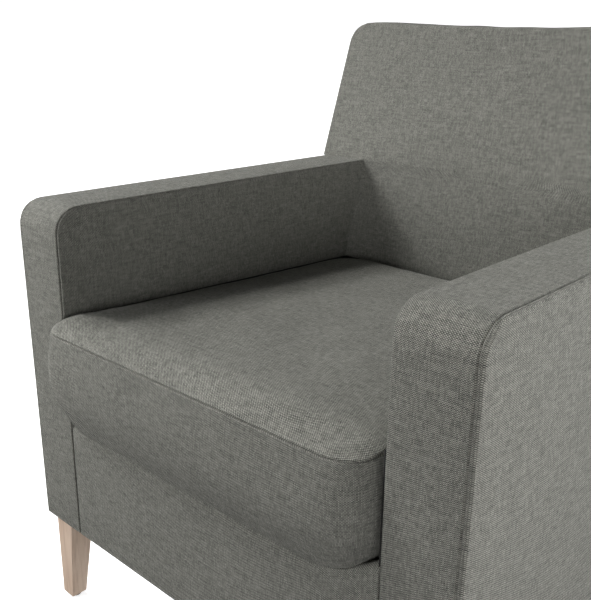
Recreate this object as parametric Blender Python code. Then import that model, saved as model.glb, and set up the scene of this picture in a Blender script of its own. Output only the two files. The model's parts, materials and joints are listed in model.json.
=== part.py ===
"""Upholstered armchair: timber frame, sprung seat, foam, sewn covers, loose seat cushion and four legs.

Metres. +Z is up and -Y is the front. Left is -X and right is +X, as seen from the front. The origin is
on the floor, under the middle of the chair. The covers are 1.2 mm cloth with foam, then timber behind.
"""

import math

import bmesh
import bpy

# ---- driving dimensions -------------------------------------------------------------------------------
WIDTH = 0.680                 # over the arms
DEPTH = 0.800                 # from the cushion's front to the back's rear edge
HEIGHT = 0.833                # to the top of the back
BODY_BOTTOM = 0.143           # hem of the cover, which is the visible length of a leg
ARM_WIDTH = 0.0845
ARM_HEIGHT = 0.604
ARM_CORNER = 0.045            # radius where an arm's front turns into its top
DECK_HEIGHT = 0.3135          # cloth that the loose cushion lies on
BACK_LEAN = 0.28              # the back's front face runs back this far for each metre of rise
BACK_DEPTH_TOP = 0.087        # front to rear, at the top
REAR_LEAN = 0.08              # the same slope on the outside of the back
BACK_HALF_TOP = 0.328         # half width of the back at its top edge
BACK_CORNER = 0.033

CLOTH = 0.0012
GAP = 0.0003                  # between pieces that touch
SKIN = CLOTH + GAP
BOARD = 0.003
TOP_FOAM = 0.024
FRONT_FOAM = 0.012
INNER_FOAM = 0.028
BACK_FOAM = 0.030
DECK_FELT = 0.014
STRAP = 0.002
STRAP_HALF_HEIGHT = 0.030
STRAP_HEIGHTS = (0.465, 0.650, 0.745)
STRAP_END = 0.012             # from a strap's end to the back's side
TIMBER = 0.025
RAIL_HEIGHT = 0.060
TOP_RAIL_HEIGHT = 0.034       # timber along the top of an arm and of the back
FRONT_BLOCK_DEPTH = 0.052     # the corner blocks, front to rear
REAR_BLOCK_DEPTH = 0.060
REAR_RAIL_SETBACK = 0.044     # from the back's front face to the seat's rear rail
LOWER_RAIL = (0.370, 0.425)   # bottom and top of the rail low in the back
TOP_SAG = 0.006               # room for the cover's top edge to sag over the back's top rail
STILE_EDGE = 0.005            # from the back's side to its stiles, at the top
DUST_COVER = 0.0006
SOFT_CORNER = 0.0065          # timber and board stay this far inside the covers' rounded corners
RAIL_TOP = 0.290              # the springs are clipped on here

CUSHION_FRONT_BOTTOM = 0.008  # how far the cushion stands in front of the arms, at its foot
CUSHION_FRONT_TOP = 0.030
CUSHION_TOP_FRONT = 0.456
CUSHION_TOP_REAR = 0.446
CUSHION_SIDE_GAP = 0.0015
CUSHION_EDGE = 0.012
EDGE_BEND = 0.3               # where the rounded edge is bent, as a share of CUSHION_EDGE
CUSHION_FRONT_CORNER = 0.045
CUSHION_REAR_CORNER = 0.018

LEG_TOP = 0.038
LEG_FOOT = 0.024
LEG_INSET = 0.009             # from the cover to the leg's two outer faces
LEG_EDGE = 0.0008             # worn edges
GLIDE_RADIUS = 0.009
GLIDE_HEIGHT = 0.004
BOLT_RADIUS = 0.004
BOLT_CLEARANCE = 0.0003
DRILL_RUN_OUT = 0.010         # how far a drill starts outside the wood
BOLT_IN_LEG = 0.040
BOLT_IN_BLOCK = 0.040

SPRING_COUNT = 4
SPRING_PITCH = 0.116
SPRING_WIRE = 0.0017          # radius
SPRING_SWING = 0.024
SPRING_WAVES = 7
SPRING_CROWN = 0.0025

ZIP_LENGTH = 0.440
ZIP_GROOVE = 0.018
ZIP_DEPTH = 0.010
ZIP_HEIGHT = 0.375
GROOVE_RUN_OUT = 0.020        # the cutter for the zip's groove starts this far behind the cushion
TAPE_THICKNESS = 0.001
CHAIN_THICKNESS = 0.0012      # the closed teeth, on top of the tape
CHAIN_HALF_HEIGHT = 0.0025
SLIDER_LENGTH = 0.012
SLIDER_START = -0.205
SLIDER_WALL = 0.002
SLIDER_ROOF = 0.0015

# ---- places worked out from them ----------------------------------------------------------------------
HALF = WIDTH / 2
ARM_INSIDE = HALF - ARM_WIDTH
ARM_FRONT = -DEPTH / 2 + CUSHION_FRONT_TOP
BACK_FACE_TOP = DEPTH / 2 - BACK_DEPTH_TOP
FRAME_OUTSIDE = HALF - SKIN - BOARD - GAP
FRAME_INSIDE = ARM_INSIDE + SKIN + INNER_FOAM + GAP
FRAME_BOTTOM = BODY_BOTTOM + 0.0023
FRAME_FRONT = ARM_FRONT + SKIN + FRONT_FOAM + GAP
FRAME_TOP = ARM_HEIGHT - SKIN - TOP_FOAM - GAP
BLOCK_TOP = FRAME_BOTTOM + RAIL_HEIGHT
FOAM_BACK_START = DECK_HEIGHT + GAP
FELT_TOP = DECK_HEIGHT - SKIN
DUST_COVER_TOP = FRAME_BOTTOM - 0.0008
LEG_LINE = HALF - LEG_INSET - LEG_TOP / 2
REAR_BOTTOM = DEPTH / 2 - REAR_LEAN * (HEIGHT - BODY_BOTTOM)
CUSHION_EDGE_SHARE = CUSHION_EDGE / (CUSHION_TOP_FRONT - DECK_HEIGHT)


def back_face(z):
    """Y of the back's front face at height z."""
    return BACK_FACE_TOP + BACK_LEAN * (z - HEIGHT)


def rear_face(z):
    """Y of the outside back at height z."""
    return DEPTH / 2 + REAR_LEAN * (z - HEIGHT)


def behind(face, distance):
    """The same sloping face, moved along Y."""
    return lambda z: face(z) + distance


def back_half_width(z):
    """The back is as wide as the body up to the arms, then narrows a little."""
    rise = max(0.0, z - ARM_HEIGHT) / (HEIGHT - ARM_HEIGHT)
    return HALF + (BACK_HALF_TOP - HALF) * rise


# ---- finishes: colour, roughness, metallic ------------------------------------------------------------
CLOTH_GREY = ((0.205, 0.203, 0.180), 0.92, 0.0)
FOAM_CREAM = ((0.78, 0.72, 0.52), 0.95, 0.0)
FELT_GREY = ((0.32, 0.31, 0.30), 0.97, 0.0)
PINE = ((0.62, 0.45, 0.27), 0.70, 0.0)
HARDBOARD = ((0.30, 0.19, 0.11), 0.80, 0.0)
PALE_BIRCH = ((0.53, 0.42, 0.33), 0.55, 0.0)
STEEL = ((0.42, 0.42, 0.43), 0.35, 1.0)
STRAP_BLACK = ((0.05, 0.05, 0.055), 0.85, 0.0)
LINING_BLACK = ((0.06, 0.06, 0.06), 0.95, 0.0)
ZIP_GREY = ((0.16, 0.16, 0.15), 0.60, 0.0)
NYLON = ((0.20, 0.17, 0.14), 0.45, 0.0)


def material_for(name, finish):
    colour, roughness, metallic = finish
    material = bpy.data.materials.new(name)
    material.use_nodes = True
    shader = material.node_tree.nodes["Principled BSDF"]
    shader.inputs["Base Color"].default_value = (*colour, 1.0)
    shader.inputs["Roughness"].default_value = roughness
    shader.inputs["Metallic"].default_value = metallic
    return material


def add_object(name, mesh, finish):
    obj = bpy.data.objects.new(name, mesh)
    obj.data.materials.append(material_for(name, finish))
    bpy.context.collection.objects.link(obj)
    return obj


def skin_loops(name, loops, finish):
    """One closed body through a row of loops that have the same number of points."""
    shape = bmesh.new()
    rings = [[shape.verts.new(point) for point in loop] for loop in loops]
    count = len(rings[0])
    for lower, upper in zip(rings, rings[1:]):
        for i in range(count):
            j = (i + 1) % count
            shape.faces.new((lower[i], lower[j], upper[j], upper[i]))
    shape.faces.new(rings[0])
    shape.faces.new(rings[-1])
    bmesh.ops.recalc_face_normals(shape, faces=shape.faces)
    mesh = bpy.data.meshes.new(name)
    shape.to_mesh(mesh)
    shape.free()
    return add_object(name, mesh, finish)


def box(name, low, high, finish):
    corners = ((low[0], low[1]), (high[0], low[1]), (high[0], high[1]), (low[0], high[1]))
    return upright(name, corners, low[2], high[2], finish)


def upright(name, plan, low, high, finish):
    """A plan in X and Y, carried up from low to high."""
    return skin_loops(name, [[(x, y, z) for x, y in plan] for z in (low, high)], finish)


def across(name, profile, side, inner, outer, finish):
    """A profile in Y and Z, carried across from inner to outer on one side of the chair."""
    return skin_loops(name, [[(side * x, y, z) for y, z in profile] for x in (inner, outer)], finish)


def between(name, front_view, near, far, finish):
    """An outline in X and Z, carried back from the sloping face near to the sloping face far."""
    return skin_loops(name, [[(x, face(z), z) for x, z in front_view] for face in (near, far)], finish)


def arc(centre, radius, start, end, steps):
    """Points on a quarter or half turn, in degrees, both ends included."""
    angles = [math.radians(start + (end - start) * i / steps) for i in range(steps + 1)]
    return [(centre[0] + radius * math.cos(a), centre[1] + radius * math.sin(a)) for a in angles]


def drill(obj, x, y, low, high):
    """A round blind hole for a leg bolt."""
    radius = BOLT_RADIUS + BOLT_CLEARANCE
    middle = (x, y, (low + high) / 2)
    bpy.ops.mesh.primitive_cylinder_add(vertices=12, radius=radius, depth=high - low, location=middle)
    cut_with(obj, bpy.context.object)


def cut_with(obj, cutter):
    cutter.name = obj.name + "_cutter"
    cutter.hide_render = True
    cutter.display_type = "WIRE"
    cut = obj.modifiers.new("cut", "BOOLEAN")
    cut.operation = "DIFFERENCE"
    cut.solver = "EXACT"
    cut.object = cutter


# ---- arms ---------------------------------------------------------------------------------------------
def arm_path(inset):
    """Side view of an arm's front and top, from the hem up and back to the chair's back."""
    front = ARM_FRONT + inset
    top = ARM_HEIGHT - inset
    radius = ARM_CORNER - inset
    corner = arc((front + radius, top - radius), radius, 180, 90, 6)
    return [(front, BODY_BOTTOM), *corner, (back_face(top) - GAP, top)]


def arm_side(inset, bottom, rear):
    """The whole side view inside that path, down to bottom and back to the face rear."""
    path = arm_path(inset)
    front = ARM_FRONT + inset
    top = ARM_HEIGHT - inset
    return [(front, bottom), *path[1:-1], (rear(top), top), (rear(bottom), bottom)]


def arm(word, side):
    band = arm_path(0.0) + arm_path(CLOTH)[::-1]
    across(word + "_arm_band_cover", band, side, ARM_INSIDE, HALF, CLOTH_GREY)

    foam_outer = arm_path(SKIN)
    foam_outer[0] = (ARM_FRONT + SKIN, FRAME_BOTTOM)
    foam_top = FRAME_TOP + GAP
    foam_inner = [(back_face(foam_top) - GAP, foam_top), (FRAME_FRONT - GAP, foam_top),
                  (FRAME_FRONT - GAP, FRAME_BOTTOM)]
    across(word + "_arm_top_foam", foam_outer + foam_inner, side, ARM_INSIDE + SKIN, HALF - SKIN,
           FOAM_CREAM)

    inner_start = RAIL_TOP + GAP
    inner_face = arm_side(SKIN, inner_start, behind(back_face, -GAP))
    across(word + "_arm_inner_cover", inner_face, side, ARM_INSIDE, ARM_INSIDE + CLOTH, CLOTH_GREY)
    inner_foam = [(FRAME_FRONT, inner_start), (FRAME_FRONT, FRAME_TOP),
                  (back_face(FRAME_TOP) - GAP, FRAME_TOP), (back_face(inner_start) - GAP, inner_start)]
    across(word + "_arm_inner_foam", inner_foam, side, ARM_INSIDE + SKIN, FRAME_INSIDE - GAP, FOAM_CREAM)

    rear = behind(rear_face, -SKIN)
    outer_face = arm_side(SKIN, BODY_BOTTOM, rear)
    across(word + "_arm_outer_cover", outer_face, side, HALF - CLOTH, HALF, CLOTH_GREY)
    board_end = behind(rear, -SOFT_CORNER)
    board = [(FRAME_FRONT, FRAME_BOTTOM), (FRAME_FRONT, FRAME_TOP), (board_end(FRAME_TOP), FRAME_TOP),
             (board_end(FRAME_BOTTOM), FRAME_BOTTOM)]
    across(word + "_arm_outer_board", board, side, HALF - SKIN - BOARD, HALF - SKIN, HARDBOARD)

    frame_x = (FRAME_INSIDE, FRAME_OUTSIDE)
    stile_front = behind(back_face, SKIN + BACK_FOAM + STRAP + 3 * GAP)
    top_rail_bottom = FRAME_TOP - TOP_RAIL_HEIGHT
    top_rail = [(FRAME_FRONT, top_rail_bottom), (FRAME_FRONT, FRAME_TOP),
                (stile_front(FRAME_TOP) - GAP, FRAME_TOP),
                (stile_front(top_rail_bottom) - GAP, top_rail_bottom)]
    across(word + "_arm_top_rail", top_rail, side, *frame_x, PINE)
    block_end = FRAME_FRONT + FRONT_BLOCK_DEPTH
    post_top = top_rail_bottom - GAP
    post = [(FRAME_FRONT, BLOCK_TOP + GAP), (FRAME_FRONT, post_top), (block_end, post_top),
            (block_end, BLOCK_TOP + GAP)]
    across(word + "_arm_front_post", post, side, *frame_x, PINE)
    rear_block_start = REAR_BOTTOM - SKIN - GAP - REAR_BLOCK_DEPTH
    side_rail = [(block_end + GAP, FRAME_BOTTOM), (block_end + GAP, BLOCK_TOP),
                 (rear_block_start - GAP, BLOCK_TOP), (rear_block_start - GAP, FRAME_BOTTOM)]
    across(word + "_side_rail", side_rail, side, *frame_x, PINE)
    return block_end, rear_block_start


# ---- legs and the blocks they are bolted to -----------------------------------------------------------
def leg(word, side, y, outward, block_y):
    """A square leg with two upright outer faces, and two inner faces that taper towards the foot."""
    x = side * LEG_LINE
    outer_x = x + side * LEG_TOP / 2
    outer_y = y + outward * LEG_TOP / 2
    leg_top = FRAME_BOTTOM - GAP
    loops = []
    for z, size in ((GLIDE_HEIGHT, LEG_FOOT), (leg_top, LEG_TOP)):
        inner_x = outer_x - side * size
        inner_y = outer_y - outward * size
        plan = ((outer_x, outer_y), (inner_x, outer_y), (inner_x, inner_y), (outer_x, inner_y))
        loops.append([(x_at, y_at, z) for x_at, y_at in plan])
    wood = skin_loops(word + "_leg", loops, PALE_BIRCH)
    edge = wood.modifiers.new("edge", "BEVEL")
    edge.width = LEG_EDGE
    edge.segments = 2
    drill(wood, x, y, leg_top - BOLT_IN_LEG - GAP, leg_top + DRILL_RUN_OUT)

    low_x, high_x = sorted((side * FRAME_INSIDE, side * FRAME_OUTSIDE))
    block = box(word + "_corner_block", (low_x, block_y[0], FRAME_BOTTOM),
                (high_x, block_y[1], BLOCK_TOP), PINE)
    drill(block, x, y, FRAME_BOTTOM - DRILL_RUN_OUT, FRAME_BOTTOM + BOLT_IN_BLOCK + GAP)

    cylinder(word + "_leg_bolt", (x, y), BOLT_RADIUS, leg_top - BOLT_IN_LEG,
             FRAME_BOTTOM + BOLT_IN_BLOCK, 12, STEEL)
    foot = (outer_x - side * LEG_FOOT / 2, outer_y - outward * LEG_FOOT / 2)
    cylinder(word + "_leg_glide", foot, GLIDE_RADIUS, 0.0, GLIDE_HEIGHT - GAP, 16, NYLON)


def cylinder(name, centre, radius, low, high, sides, finish):
    circle = arc(centre, radius, 0, 360 - 360 / sides, sides - 1)
    return upright(name, circle, low, high, finish)


# ---- seat base ----------------------------------------------------------------------------------------
def seat_base():
    inside = FRAME_INSIDE - GAP
    box("front_rail", (-inside, FRAME_FRONT, FRAME_BOTTOM),
        (inside, FRAME_FRONT + TIMBER, RAIL_TOP), PINE)
    rear_rail_front = back_face(RAIL_TOP) + REAR_RAIL_SETBACK
    box("rear_rail", (-inside, rear_rail_front, FRAME_BOTTOM),
        (inside, rear_rail_front + TIMBER, RAIL_TOP), PINE)

    for i in range(SPRING_COUNT):
        x = SPRING_PITCH * (i - (SPRING_COUNT - 1) / 2)
        spring("seat_spring_%d" % (i + 1), x, FRAME_FRONT + TIMBER / 2, rear_rail_front + TIMBER / 2)

    deck_half = ARM_INSIDE - GAP
    deck_rear = rear_rail_front + TIMBER
    front_foam_start = ARM_FRONT + SKIN
    box("front_edge_foam", (-deck_half, front_foam_start, FRAME_BOTTOM),
        (deck_half, front_foam_start + FRONT_FOAM, FELT_TOP), FOAM_CREAM)
    box("seat_deck_felt", (-deck_half, FRAME_FRONT, FELT_TOP - DECK_FELT),
        (deck_half, deck_rear, FELT_TOP), FELT_GREY)
    box("seat_deck_cloth", (-deck_half, ARM_FRONT, DECK_HEIGHT - CLOTH),
        (deck_half, deck_rear, DECK_HEIGHT), LINING_BLACK)
    box("front_apron_cover", (-deck_half, ARM_FRONT, BODY_BOTTOM),
        (deck_half, ARM_FRONT + CLOTH, DECK_HEIGHT - SKIN), CLOTH_GREY)

    edge_x = HALF - SKIN - GAP
    edge_front = ARM_FRONT + SKIN + GAP
    edge_rear = REAR_BOTTOM - SKIN - GAP
    notch = LEG_INSET + LEG_TOP + GAP
    notch_x = HALF - notch
    notch_y = edge_front + notch
    quarter = [(edge_x, notch_y), (notch_x, notch_y), (notch_x, edge_front)]
    front_half = quarter + [(-x, y) for x, y in quarter[::-1]]
    plan = front_half + [(x, edge_front + edge_rear - y) for x, y in front_half[::-1]]
    upright("bottom_dust_cover", plan, DUST_COVER_TOP - DUST_COVER, DUST_COVER_TOP, LINING_BLACK)


def spring(name, x, start, end):
    """A zigzag spring: wire that swings from side to side on its way back, over the two rails."""
    wire = bpy.data.curves.new(name, "CURVE")
    wire.dimensions = "3D"
    wire.bevel_depth = SPRING_WIRE
    wire.bevel_resolution = 1
    wire.use_fill_caps = True
    line = wire.splines.new("POLY")
    steps = SPRING_WAVES * 8
    line.points.add(steps)
    for i, point in enumerate(line.points):
        along = i / steps
        swing = SPRING_SWING * math.sin(2 * math.pi * SPRING_WAVES * along)
        rise = SPRING_CROWN * math.sin(math.pi * along)
        height = RAIL_TOP + SPRING_WIRE + 2 * GAP + rise
        point.co = (x + swing, start + (end - start) * along, height, 1.0)
    return add_object(name, wire, STEEL)


# ---- back ---------------------------------------------------------------------------------------------
def back_outline(inset, bottom, lower_half=None):
    """Front view of the back with round top corners. Below the arms it can be narrower."""
    top = HEIGHT - inset
    radius = BACK_CORNER - inset
    half_top = BACK_HALF_TOP - inset
    corner = arc((half_top - radius, top - radius), radius, 0, 90, 5)
    if lower_half is None:
        start = [(HALF - inset, bottom), (HALF - inset, max(bottom, ARM_HEIGHT))]
    else:
        start = [(lower_half, bottom), (lower_half, ARM_HEIGHT + GAP), (HALF - inset, ARM_HEIGHT + GAP)]
    right = start + corner
    return right + [(-x, z) for x, z in right[::-1]]


def rectangle(half, low, high):
    """Front view of a rail or strap that reaches half to each side."""
    return [(-half, low), (half, low), (half, high), (-half, high)]


def back():
    front_skin = behind(back_face, CLOTH)
    foam_front = behind(back_face, SKIN)
    foam_rear = behind(back_face, SKIN + BACK_FOAM)
    strap_front = behind(back_face, SKIN + BACK_FOAM + GAP)
    strap_rear = behind(back_face, SKIN + BACK_FOAM + GAP + STRAP)
    timber_front = behind(back_face, SKIN + BACK_FOAM + STRAP + 3 * GAP)
    rear_inside = behind(rear_face, -SKIN)
    timber_rear = behind(rear_inside, -SOFT_CORNER)

    lower_half = ARM_INSIDE - GAP
    between("inside_back_cover", back_outline(0.0, FOAM_BACK_START, lower_half), back_face, front_skin,
            CLOTH_GREY)
    between("back_foam", back_outline(SKIN, FOAM_BACK_START, lower_half), foam_front, foam_rear,
            FOAM_CREAM)
    between("outside_back_cover", back_outline(0.0, BODY_BOTTOM), behind(rear_face, -CLOTH), rear_face,
            CLOTH_GREY)

    border_bottom = ARM_HEIGHT - CLOTH
    outer = back_outline(0.0, border_bottom)
    inner = back_outline(CLOTH, border_bottom)
    between("back_border_cover", outer + inner[::-1], foam_front, rear_inside, CLOTH_GREY)

    stile_bottom = BLOCK_TOP + GAP
    stile_top = HEIGHT - TOP_RAIL_HEIGHT
    timber_half = FRAME_INSIDE - GAP
    for word, side in (("left", -1), ("right", 1)):
        outside_top = back_half_width(stile_top) - STILE_EDGE
        inside_top = outside_top - (FRAME_OUTSIDE - FRAME_INSIDE)
        outline = [(side * FRAME_INSIDE, stile_bottom), (side * FRAME_OUTSIDE, stile_bottom),
                   (side * FRAME_OUTSIDE, FRAME_TOP), (side * outside_top, stile_top),
                   (side * inside_top, stile_top), (side * FRAME_INSIDE, FRAME_TOP)]
        between(word + "_back_stile", outline, timber_front, timber_rear, PINE)

    rail_half = back_half_width(HEIGHT) - BACK_CORNER
    top_rail = rectangle(rail_half, stile_top + GAP, HEIGHT - SKIN - SOFT_CORNER - TOP_SAG)
    between("back_top_rail", top_rail, timber_front, timber_rear, PINE)
    lower_rail = rectangle(timber_half, *LOWER_RAIL)
    between("back_lower_rail", lower_rail, timber_front, behind(timber_front, TIMBER), PINE)

    for i, middle in enumerate(STRAP_HEIGHTS):
        low, high = middle - STRAP_HALF_HEIGHT, middle + STRAP_HALF_HEIGHT
        strap = rectangle(BACK_HALF_TOP - STRAP_END, low, high)
        between("back_strap_%d" % (i + 1), strap, strap_front, strap_rear, STRAP_BLACK)


# ---- loose seat cushion -------------------------------------------------------------------------------
def cushion_loop(height, inset):
    """The cushion's plan at one height, from 0 at its foot to 1 at its top, drawn in by inset."""
    half = ARM_INSIDE - CUSHION_SIDE_GAP - inset
    foot = DECK_HEIGHT + GAP
    depth_foot = back_face(foot) - ARM_FRONT
    lean = min(1.0, height / (1 - CUSHION_EDGE_SHARE))
    overhang = CUSHION_FRONT_BOTTOM + (CUSHION_FRONT_TOP - CUSHION_FRONT_BOTTOM) * lean
    front = ARM_FRONT - overhang + inset
    rear = back_face(foot + height * (CUSHION_TOP_REAR - foot)) - CUSHION_SIDE_GAP - inset
    front_radius = CUSHION_FRONT_CORNER - inset
    rear_radius = CUSHION_REAR_CORNER - inset
    right = arc((half - front_radius, front + front_radius), front_radius, -90, 0, 6)
    right += arc((half - rear_radius, rear - rear_radius), rear_radius, 0, 90, 3)
    plan = right + [(-x, y) for x, y in right[::-1]]
    loop = []
    for x, y in plan:
        back_share = (y - ARM_FRONT) / depth_foot
        top = CUSHION_TOP_FRONT + (CUSHION_TOP_REAR - CUSHION_TOP_FRONT) * back_share
        loop.append((x, y, foot + (top - foot) * height))
    return loop


def cushion_loops(skin):
    """Loops from the foot to the top, with rounded edges, all of it drawn in by skin."""
    shift = skin / (CUSHION_TOP_FRONT - DECK_HEIGHT)
    rounding = ((0.0, CUSHION_EDGE), (EDGE_BEND * CUSHION_EDGE_SHARE, EDGE_BEND * CUSHION_EDGE),
                (CUSHION_EDGE_SHARE, 0.0))
    lower = [(shift + height, inset) for height, inset in rounding]
    upper = [(1 - shift - height, inset) for height, inset in reversed(rounding)]
    return [cushion_loop(height, skin + inset) for height, inset in lower + upper]


def groove_cutter():
    """The zip's recess along the cushion's rear face, at the height ZIP_HEIGHT."""
    middle = back_face(ZIP_HEIGHT) + (GROOVE_RUN_OUT - ZIP_DEPTH) / 2
    bpy.ops.mesh.primitive_cube_add(size=1.0, location=(0, middle, ZIP_HEIGHT))
    cutter = bpy.context.object
    cutter.scale = (ZIP_LENGTH, ZIP_DEPTH + GROOVE_RUN_OUT, ZIP_GROOVE)
    bpy.ops.object.transform_apply(location=True, rotation=False, scale=True)
    return cutter


def cushion():
    cover = skin_loops("seat_cushion_cover", cushion_loops(0.0), CLOTH_GREY)
    hollow = skin_loops("cushion_hollow", cushion_loops(CLOTH), CLOTH_GREY)
    cut_with(cover, hollow)
    cut_with(cover, groove_cutter())
    core = skin_loops("seat_cushion_foam", cushion_loops(SKIN), FOAM_CREAM)
    cut_with(core, groove_cutter())

    bottom = back_face(ZIP_HEIGHT) - ZIP_DEPTH
    half = ZIP_LENGTH / 2 - GAP
    half_height = ZIP_GROOVE / 2 - GAP
    tape_front = bottom + GAP
    tape_rear = tape_front + TAPE_THICKNESS
    chain_rear = tape_rear + CHAIN_THICKNESS
    chain = CHAIN_HALF_HEIGHT
    profile = [(tape_front, -half_height), (tape_rear, -half_height), (tape_rear, -chain),
               (chain_rear, -chain), (chain_rear, chain), (tape_rear, chain),
               (tape_rear, half_height), (tape_front, half_height)]
    loops = [[(x, y, ZIP_HEIGHT + z) for y, z in profile] for x in (-half, half)]
    skin_loops("cushion_zip_tape", loops, ZIP_GREY)

    slider_front = tape_rear + GAP
    grip = chain + GAP
    reach = grip + SLIDER_WALL
    slider_rear = chain_rear + GAP + SLIDER_ROOF
    saddle = [(slider_front, -reach), (slider_rear, -reach), (slider_rear, reach),
              (slider_front, reach), (slider_front, grip), (chain_rear + GAP, grip),
              (chain_rear + GAP, -grip), (slider_front, -grip)]
    x_range = (-SLIDER_LENGTH / 2, SLIDER_LENGTH / 2)
    loops = [[(x, y, z) for y, z in saddle] for x in x_range]
    slider = skin_loops("cushion_zip_slider", loops, STEEL)
    slider.location = (SLIDER_START, 0.0, ZIP_HEIGHT)


def build():
    for obj in list(bpy.data.objects):
        bpy.data.objects.remove(obj, do_unlink=True)
    for word, side in (("left", -1), ("right", 1)):
        block_end, rear_block_start = arm(word, side)
        front_leg_y = ARM_FRONT + LEG_INSET + LEG_TOP / 2
        rear_leg_y = REAR_BOTTOM - LEG_INSET - LEG_TOP / 2
        leg("front_" + word, side, front_leg_y, -1, (FRAME_FRONT, block_end))
        leg("rear_" + word, side, rear_leg_y, 1, (rear_block_start, REAR_BOTTOM - SKIN - GAP))
    seat_base()
    back()
    cushion()


build()
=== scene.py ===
"""Upholstered armchair: covers, cushion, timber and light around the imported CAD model.

Metres, in the CAD's frame: +Z is up, -Y is the front, and the origin is on the floor under the middle.
Every sewn cover is a panel of cloth with its own seams. The loose cushion is a closed cover that a cloth
simulation fills. Weave, grain and the other surfaces are made by nodes.
"""

import json
import math

import bmesh
import bpy
import numpy as np
from mathutils import Matrix, Vector, noise
from mathutils.kdtree import KDTree


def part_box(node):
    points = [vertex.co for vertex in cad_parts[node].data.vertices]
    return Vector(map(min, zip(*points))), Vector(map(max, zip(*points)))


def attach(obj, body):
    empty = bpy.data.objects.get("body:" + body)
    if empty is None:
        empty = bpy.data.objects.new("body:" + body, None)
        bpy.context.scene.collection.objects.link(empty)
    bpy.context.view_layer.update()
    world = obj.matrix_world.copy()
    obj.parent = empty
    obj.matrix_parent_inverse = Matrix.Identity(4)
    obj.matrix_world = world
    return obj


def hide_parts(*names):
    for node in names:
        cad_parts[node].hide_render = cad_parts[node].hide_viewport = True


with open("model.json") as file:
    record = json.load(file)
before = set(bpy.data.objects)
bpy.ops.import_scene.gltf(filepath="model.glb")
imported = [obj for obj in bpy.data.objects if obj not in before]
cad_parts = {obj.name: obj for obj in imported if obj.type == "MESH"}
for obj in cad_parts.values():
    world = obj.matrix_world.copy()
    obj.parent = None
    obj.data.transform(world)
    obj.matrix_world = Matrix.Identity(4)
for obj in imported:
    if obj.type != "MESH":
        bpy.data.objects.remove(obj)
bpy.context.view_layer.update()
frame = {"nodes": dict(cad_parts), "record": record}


# ---- sizes read from the frame ---------------------------
band_low, band_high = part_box("right_arm_band_cover")
back_low, back_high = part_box("inside_back_cover")
rear_low, rear_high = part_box("outside_back_cover")
apron_low, apron_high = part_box("front_apron_cover")

CLOTH = apron_high[1] - apron_low[1]
ARM_INSIDE = band_low[0]
HALF = band_high[0]            # half the CAD's overall width
ARM_WIDTH = HALF - ARM_INSIDE
ARM_FRONT = band_low[1]
HEM = band_low[2]
ARM_TOP = band_high[2]
TOP = back_high[2]
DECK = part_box("seat_deck_cloth")[1][2]
BACK_LEAN = (back_high[1] - CLOTH - back_low[1]) / (back_high[2] - back_low[2])
REAR_LEAN = (rear_high[1] - CLOTH - rear_low[1]) / (rear_high[2] - rear_low[2])

# sizes that the boxes can't give
ARM_FLARE = 0.0035             # how far the arms' outer faces lean out by the top
ARM_CORNER = 0.034             # radius of the arms' front corners, seen from the side
BACK_CORNER = 0.033            # radius of the back's top corners, seen from the front
BACK_SPREAD = 0.0135           # how far the padded back stands out past the arms on each side
BACK_HALF_TOP = 0.3415         # half the back's width along its top
SPREAD_START = ARM_TOP - 0.018
SPREAD_RUN = 0.012             # height over which the back comes out to its full width
TOP_DIP = 0.0075               # how far the top edge sags in the middle
DIP_HALF = 0.29                # half the length of the sag
DIP_DEPTH = 0.12               # how far down the back the sag is felt


def back_face(z):
    """Y of the back's front face at height z."""
    return back_low[1] + BACK_LEAN * (z - back_low[2])


def rear_face(z):
    """Y of the outside back at height z."""
    return rear_high[1] + REAR_LEAN * (z - TOP)


def smooth_step(value):
    """Eases from 0 to 1 while the value goes from 0 to 1."""
    value = np.clip(value, 0.0, 1.0)
    return value * value * (3 - 2 * value)


def flare(z):
    """How far an arm's outer face leans out at height z."""
    return ARM_FLARE * np.clip((z - HEM) / (ARM_TOP - HEM), 0, 1)


def narrowing(z):
    """How much less the back stands out where it meets the arms' outer faces."""
    return (BACK_SPREAD - flare(z)) * (1 - smooth_step((z - SPREAD_START) / SPREAD_RUN))


def back_half(z):
    """Half the back's width at height z."""
    widest = HALF + BACK_SPREAD
    wide = widest + (BACK_HALF_TOP - widest) * np.clip((z - ARM_TOP) / (TOP - ARM_TOP), 0, 1)
    return wide - narrowing(z)


def dip(x, z):
    """How far the back's top edge sags at x."""
    near_top = smooth_step((z - TOP + DIP_DEPTH) / DIP_DEPTH)
    return TOP_DIP * np.clip(1 - (x / DIP_HALF) ** 2, 0, 1) * near_top


def add_object(name, data):
    """A new object in the scene."""
    piece = bpy.data.objects.new(name, data)
    bpy.context.collection.objects.link(piece)
    return piece


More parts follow.
